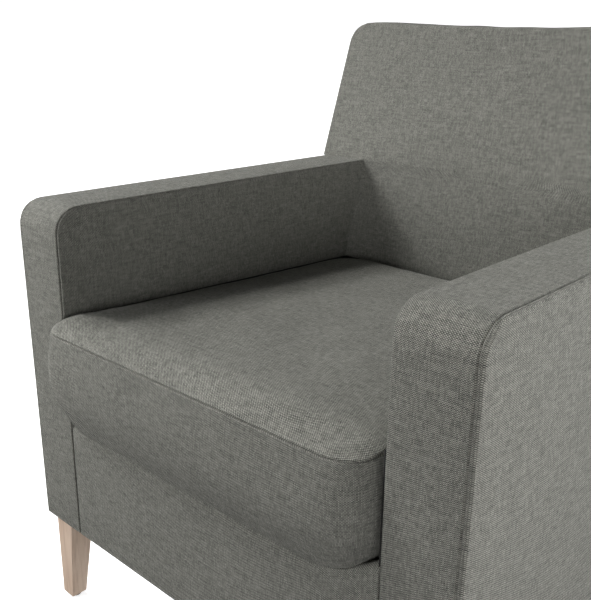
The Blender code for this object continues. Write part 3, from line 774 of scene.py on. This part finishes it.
def bottom_positions(x, y):
    """The bottom panel: set in from the top seam, sagging over the front edge and lifted by the corner."""
    middle_x, front, rear = (SEAT_LEFT + SEAT_RIGHT) / 2, y.min(), y.max()
    foot = DECK + FOOT_HEIGHT
    rear_lean = back_face(foot) - back_face(SEAM_REAR)
    positions = []
    for row_x, row_y in zip(x.tolist(), y.tolist()):
        row = []
        for px, py in zip(row_x, row_y):
            side = (px - middle_x) / (SEAT_RIGHT - middle_x)
            share = (py - front) / (rear - front)
            fx = px - side * SEAT_TUCK_SIDE
            fy = py + (1 - share) * SEAT_TUCK_FRONT + share * rear_lean
            sag = FRONT_SAG * float(smooth_step((SAG_START - fy) / SAG_RUN))
            row.append((fx, fy, foot - sag + FOOT_LIFT * float(corner_rise(fx, fy))))
        positions.append(row)
    return positions


def top_positions(x, y):
    """The top panel: its seam's height and the crown over it."""
    return [[(px, py, seam_height(px, py) + crown(px, py, x, y)) for px, py in zip(row_x, row_y)]
            for row_x, row_y in zip(x.tolist(), y.tolist())]


def rim(rows):
    """The outer ring of a grid of vertices, once round."""
    return (rows[0][:] + [row[-1] for row in rows[1:]] + rows[-1][-2::-1]
            + [row[0] for row in rows[-2:0:-1]])


def add_boxing(shape, weave, foot_rim, top_rim):
    """The strip between the bottom and the top seam, bulging a little outwards."""
    count = len(foot_rim)
    around = [0.0]
    for a, b in zip(top_rim, top_rim[1:] + top_rim[:1]):
        around.append(around[-1] + (b.co - a.co).length)
    loops = [foot_rim]
    for level in BOXING_LEVELS:
        bulge = BOXING_BULGE * math.sin(math.pi * level ** BULGE_SHIFT)
        upright = 1 - (1 - level) ** 3
        row = []
        for i in range(count):
            a, b = foot_rim[i].co, top_rim[i].co
            along = top_rim[(i + 1) % count].co - top_rim[i - 1].co
            outwards = Vector((along.y, -along.x, 0)).normalized()
            middle = a.lerp(b, upright)
            middle.z = a.z + (b.z - a.z) * level
            row.append(shape.verts.new(middle + outwards * bulge))
        loops.append(row)
    loops.append(top_rim)
    heights = [0.0] + BOXING_LEVELS + [1.0]
    tall = SEAM_SIDE - DECK
    for k in range(len(loops) - 1):
        for i in range(count):
            j = (i + 1) % count
            face = shape.faces.new((loops[k][i], loops[k][j], loops[k + 1][j], loops[k + 1][i]))
            marks = ((around[i], heights[k]), (around[i + 1], heights[k]),
                     (around[i + 1], heights[k + 1]), (around[i], heights[k + 1]))
            for loop, (distance, level) in zip(face.loops, marks):
                loop[weave].uv = distance, level * tall


def spread_left_corner(vertices):
    """Moves the left front corner sideways, over the front of the arm."""
    foot = DECK + FOOT_HEIGHT
    for vertex in vertices:
        x, y, z = vertex.co
        clear = smooth_step((CLEAR_OF_ARM - y) / CLEAR_RUN)
        near_corner = smooth_step((SEAT_LEFT + CORNER_REACH - x) / CORNER_REACH)
        above_foot = smooth_step((z - foot) / SPREAD_RISE)
        at_seam = smooth_step((z - foot - NEAR_SEAM) / NEAR_SEAM_RUN)
        share = clear * near_corner * above_foot * (1 - SPREAD_LESS_AT_SEAM * at_seam)
        vertex.co.x -= SPREAD_OVER_ARM * float(share)


def cushion_cover(fabric):
    """The sewn cover before it is filled: bottom panel, boxing and top panel in one closed mesh."""
    x, y = cushion_outline_grid()
    shape = bmesh.new()
    weave = shape.loops.layers.uv.new("cloth")
    foot_rim = rim(add_flat_panel(shape, weave, bottom_positions(x, y)))
    top_rim = rim(add_flat_panel(shape, weave, top_positions(x, y)))
    add_boxing(shape, weave, foot_rim, top_rim)
    spread_left_corner(shape.verts)
    bmesh.ops.recalc_face_normals(shape, faces=shape.faces)
    shape.normal_update()
    for vertex in shape.verts:
        soft = sum(height * noise.noise(vertex.co * rate) for height, rate in CUSHION_WAVES)
        vertex.co += vertex.normal * soft
    shape.verts.index_update()
    seam_indices = [[vertex.index for vertex in seam] for seam in (foot_rim, top_rim)]
    mesh = bpy.data.meshes.new("seat_cushion")
    shape.to_mesh(mesh)
    shape.free()
    mesh.shade_smooth()
    mesh.materials.append(fabric)
    return add_object("seat_cushion", mesh), seam_indices


def fill_with_cloth(piece, pressure, limit, frames=20):
    """Blows the closed cover up as cloth without gravity, and keeps each point within limit of its start."""
    start = points_of(piece.data)
    cloth = piece.modifiers.new("filling", "CLOTH")
    settings = cloth.settings
    settings.quality = 8
    settings.mass = 0.25
    settings.tension_stiffness = 20.0
    settings.compression_stiffness = 20.0
    settings.shear_stiffness = 8.0
    settings.bending_stiffness = 1.0
    settings.use_pressure = True
    settings.uniform_pressure_force = pressure
    settings.effector_weights.gravity = 0.0
    cloth.point_cache.frame_start = 1
    cloth.point_cache.frame_end = frames
    scene = bpy.context.scene
    for step in range(1, frames + 1):
        scene.frame_set(step)
    graph = bpy.context.evaluated_depsgraph_get()
    filled = piece.evaluated_get(graph).to_mesh()
    end = points_of(filled)
    piece.evaluated_get(graph).to_mesh_clear()
    piece.modifiers.remove(cloth)
    scene.frame_set(1)
    move = end - start
    length = np.linalg.norm(move, axis=1)
    allowed = limit * np.tanh(length / limit)
    scale = np.where(length > 1e-9, allowed / np.maximum(length, 1e-9), 0.0)
    set_points(piece.data, start + move * scale[:, None])


def points_of(mesh):
    data = np.empty(len(mesh.vertices) * 3)
    mesh.vertices.foreach_get("co", data)
    return data.reshape(-1, 3)


def set_points(mesh, points):
    mesh.vertices.foreach_set("co", points.astype(np.float32).ravel())
    mesh.update()


DECK_GAP = 0.0012              # what stays free between the cushion and its neighbours
ARM_GAP = 0.0065
BACK_GAP = 0.0062
ROOM_IN_FRONT = 0.0275         # how much wider the cushion may be in front of the arms
FLOOR_EDGE = ARM_FRONT + 0.014 # in front of this the foot may hang lower


def sit_between_neighbours(points):
    """Presses the cushion flat where it meets the deck, the arms and the back."""
    x, y, z = points.T
    over_edge = smooth_step((FLOOR_EDGE - y) / SAG_RUN)
    floor = DECK + DECK_GAP + FOOT_LIFT * corner_rise(x, y) - (FRONT_SAG + FOOT_HEIGHT) * over_edge
    z[:] = np.maximum(z, floor)
    room = ARM_INSIDE - ARM_GAP + ROOM_IN_FRONT * smooth_step((CLEAR_OF_ARM - y) / CLEAR_RUN)
    x[:] = np.clip(x, -room, room)
    behind_zip = (np.abs(x) < ZIP_HALF) & (np.abs(z - ZIP_HEIGHT) < ZIP_REACH)
    y[:] = np.minimum(y, back_face(z) - np.where(behind_zip, ZIP_HOLLOW, BACK_GAP))


SEAM_SAMPLES = 12              # points per edge that stand for the seam's line
SEAM_WIDTH = 0.0026
SEAM_DEPTH = 0.0045
SEAM_RIDGE = 0.0005
GROOVE_HALF = 0.0009
RIDGE_PLACE = 0.0021           # distance of the ridge from the seam
PUCKER, PUCKER_RATE = 0.35, 95.0


def sew_seams(piece, seams):
    """Cuts a stitched groove with a low ridge on each side along every seam loop."""
    shape = bmesh.new()
    shape.from_mesh(piece.data)
    shape.verts.ensure_lookup_table()
    loops = [set(indices) for indices in seams]
    edges = [e for e in shape.edges
             if any(e.verts[0].index in loop and e.verts[1].index in loop for loop in loops)]
    line = KDTree(len(edges) * SEAM_SAMPLES)
    for i, edge in enumerate(edges):
        for k in range(SEAM_SAMPLES):
            line.insert(edge.verts[0].co.lerp(edge.verts[1].co, k / SEAM_SAMPLES), i * SEAM_SAMPLES + k)
    line.balance()
    bmesh.ops.bevel(shape, geom=edges, offset=SEAM_WIDTH, offset_type="OFFSET", segments=6, profile=0.5,
                    affect="EDGES", clamp_overlap=True)
    shape.normal_update()
    moves = []
    for vertex in shape.verts:
        distance = line.find(vertex.co)[2]
        if distance < 2 * SEAM_WIDTH:
            pucker = 1 + PUCKER * noise.noise(vertex.co * PUCKER_RATE)
            groove = -SEAM_DEPTH * math.exp(-(distance / GROOVE_HALF) ** 2)
            ridge = SEAM_RIDGE * pucker * math.exp(-((distance - RIDGE_PLACE) / GROOVE_HALF) ** 2)
            moves.append((vertex, vertex.normal * (groove + ridge)))
    for vertex, move in moves:
        vertex.co += move
    shape.to_mesh(piece.data)
    shape.free()
    piece.data.shade_smooth()


# the collar is painted shade: a black sheet standing in the crevice between the cushion and the arms and back
COLLAR_GAP = 0.0045            # how far the collar stands off the arm's and the back's nominal faces
COLLAR_START = ARM_FRONT + 0.006
COLLAR_FRONT = 0.4624          # height of its top edge at the front, then along the back
COLLAR_REAR = 0.4397
SIDE_POINTS, BACK_POINTS, COLLAR_ROWS = 60, 50, 5


def painted_shade_collar(lining):
    """A black sheet low on the inner arms and the back, up to the cushion's edge: painted shade that makes
    the crevice round the cushion read black.
    """
    half = ARM_INSIDE - COLLAR_GAP
    front = COLLAR_START
    rear = float(back_face(COLLAR_REAR)) - COLLAR_GAP
    side = rear - front
    across = 2 * half
    from_front = np.linspace(0, side, SIDE_POINTS)
    along_back = np.linspace(0, across, BACK_POINTS)
    steps = np.concatenate([from_front, side + along_back[1:], side + across + from_front[1:]])
    levels = np.linspace(0, 1, COLLAR_ROWS)
    along = np.tile(steps, len(levels))
    level = np.repeat(levels, len(steps))
    sideways = np.clip(along - side, 0, across)
    to_rear = np.minimum(along, side) - np.maximum(along - side - across, 0)
    share = to_rear / side
    top = COLLAR_FRONT + (COLLAR_REAR - COLLAR_FRONT) * share
    z = DECK + (top - DECK) * level
    y = front + to_rear + share * BACK_LEAN * (z - COLLAR_REAR)
    on_back = (sideways > 0) & (sideways < across)
    inwards_x = np.where(on_back, 0.0, np.where(sideways > 0, -1.0, 1.0))
    inwards = stacked(inwards_x, np.where(on_back, -1.0, 0.0), 0.0)
    piece = grid_object("painted_shade_collar", stacked(sideways - half, y, z), stacked(along, z),
                        len(levels), len(steps), inwards, lining)
    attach(piece, "frame")


def loose_cushion(fabric):
    """The filled and sewn cushion, pressed flat where it rests."""
    piece, seam_indices = cushion_cover(fabric)
    fill_with_cloth(piece, FILLING_PRESSURE, SEAT_SWELL)
    points = points_of(piece.data)
    sit_between_neighbours(points)
    set_points(piece.data, points)
    sew_seams(piece, seam_indices)
    smooth = piece.modifiers.new("smooth", "SUBSURF")
    smooth.levels = smooth.render_levels = 1
    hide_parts("seat_cushion_cover", "seat_cushion_foam")
    finish_soft(piece, "seat_cushion")


# ---- light, floor and camera -----------------------------
def pale_bowl(radius, bend, wall):
    """A round floor that curves up into a wall on every side."""
    steps, around = 12, 64
    profile = [(1.0, 0.0), (radius - bend, 0.0)]
    for step in range(1, steps + 1):
        turn = math.pi / 2 * step / steps
        profile.append((radius - bend + bend * math.sin(turn), bend * (1 - math.cos(turn))))
    profile.append((radius, bend + wall))
    points = [(r * math.cos(2 * math.pi * k / around), r * math.sin(2 * math.pi * k / around), z)
              for r, z in profile for k in range(around)] + [(0.0, 0.0, 0.0)]
    middle = len(points) - 1
    faces = [(middle, k, (k + 1) % around) for k in range(around)]
    for ring in range(len(profile) - 1):
        for k in range(around):
            a, b = ring * around + k, ring * around + (k + 1) % around
            faces.append((a, a + around, b + around, b))
    mesh = bpy.data.meshes.new("floor")
    mesh.from_pydata(points, [], faces)
    mesh.shade_smooth()
    return add_object("floor", mesh)


FLOOR_RADIUS, FLOOR_BEND, WALL_HEIGHT = 12.0, 3.0, 5.0
FLOOR_GLOW = 0.80
LIGHTS_AIM = Vector((0.0, -0.15, 0.45))
WORLD_LIGHT = 0.03
# name, degrees round from the front towards +X, degrees up, irradiance, and a sun's softness in degrees
SUNS = (("key", -75, 42, 1.58, 8), ("key_edge", -95, 52, 1.34, 8), ("low_front", 30, 4, 0.79, 25),
        ("low_rear", 150, 4, 2.49, 25), ("under_left", -110, -12, 0.60, 30))
SOFTBOXES = (("box_left", -90, 30, 1.00), ("box_front", -30, 10, 1.35), ("box_right", 90, 10, 0.81),
             ("box_near_right", 60, 10, 0.42))
SOFTBOX_DISTANCE = 1.3
SOFTBOX_SIZE = 0.5


def hang(name, light, around, up, distance):
    """Places a light so that it shines on the seat from that side."""
    lamp = add_object(name, light)
    a, e = math.radians(around), math.radians(up)
    towards = Vector((math.sin(a) * math.cos(e), -math.cos(a) * math.cos(e), math.sin(e)))
    lamp.location = LIGHTS_AIM + towards * distance
    lamp.rotation_euler = towards.to_track_quat("Z", "Y").to_euler()
    lamp.visible_camera = False


def studio():
    """The pale floor, which only the camera sees, and the suns and soft boxes."""
    floor = pale_bowl(FLOOR_RADIUS, FLOOR_BEND, WALL_HEIGHT)
    s = Surface("pale_floor", roughness=0.9, specular=0.1)
    s.colour((0.80, 0.80, 0.80, 1.0))
    s.shader.inputs["Emission Color"].default_value = (1.0, 1.0, 1.0, 1.0)
    s.shader.inputs["Emission Strength"].default_value = FLOOR_GLOW
    floor.data.materials.append(s.material)
    for kind in ("diffuse", "glossy", "transmission", "shadow"):
        setattr(floor, "visible_" + kind, False)

    for name, around, up, strength, softness in SUNS:
        sun = bpy.data.lights.new(name, "SUN")
        sun.energy = strength
        sun.angle = math.radians(softness)
        hang(name, sun, around, up, 0.0)
    for name, around, up, strength in SOFTBOXES:
        box = bpy.data.lights.new(name, "AREA")
        box.shape = "DISK"
        box.size = SOFTBOX_SIZE
        box.energy = strength * math.pi * SOFTBOX_DISTANCE ** 2
        hang(name, box, around, up, SOFTBOX_DISTANCE)
    world = bpy.data.worlds.new("world")
    world.use_nodes = True
    world.node_tree.nodes["Background"].inputs[0].default_value = (1.0, 1.0, 1.0, 1.0)
    world.node_tree.nodes["Background"].inputs[1].default_value = WORLD_LIGHT
    bpy.context.scene.world = world
    bpy.context.scene.view_settings.view_transform = "Standard"


CAMERA_AROUND, CAMERA_UP, CAMERA_ROLL = 42.487, 18.059, 0.6415      # degrees
CAMERA_PLACE = Vector((0.6254, ARM_FRONT - 0.5213, HEM + 0.6675))
FOCAL_LENGTH, SENSOR_WIDTH = 48.71, 36.0                            # millimetres


def camera():
    """From the front and the right, a little above the chair."""
    around, up, roll = map(math.radians, (CAMERA_AROUND, CAMERA_UP, CAMERA_ROLL))
    lens = bpy.data.cameras.new("camera")
    lens.lens = FOCAL_LENGTH
    lens.sensor_width = SENSOR_WIDTH
    viewer = add_object("camera", lens)
    back = Vector((math.sin(around) * math.cos(up), -math.cos(around) * math.cos(up), math.sin(up)))
    right = (-back).cross(Vector((0, 0, 1))).normalized()
    above = right.cross(-back)
    rolled_right = math.cos(roll) * right + math.sin(roll) * above
    rolled_above = -math.sin(roll) * right + math.cos(roll) * above
    matrix = Matrix((rolled_right, rolled_above, back)).transposed().to_4x4()
    matrix.translation = CAMERA_PLACE
    viewer.matrix_world = matrix
    bpy.context.scene.camera = viewer


def main():
    camera()
    studio()
    lining = dress_frame()
    fabric = woven_fabric()
    for word, side, seed in (("left", -1, 1.0), ("right", 1, 2.0)):
        arm(word, side, fabric, seed)
    apron(fabric)
    deck(lining)
    back_panels(fabric)
    painted_shade_collar(lining)
    loose_cushion(fabric)


main()
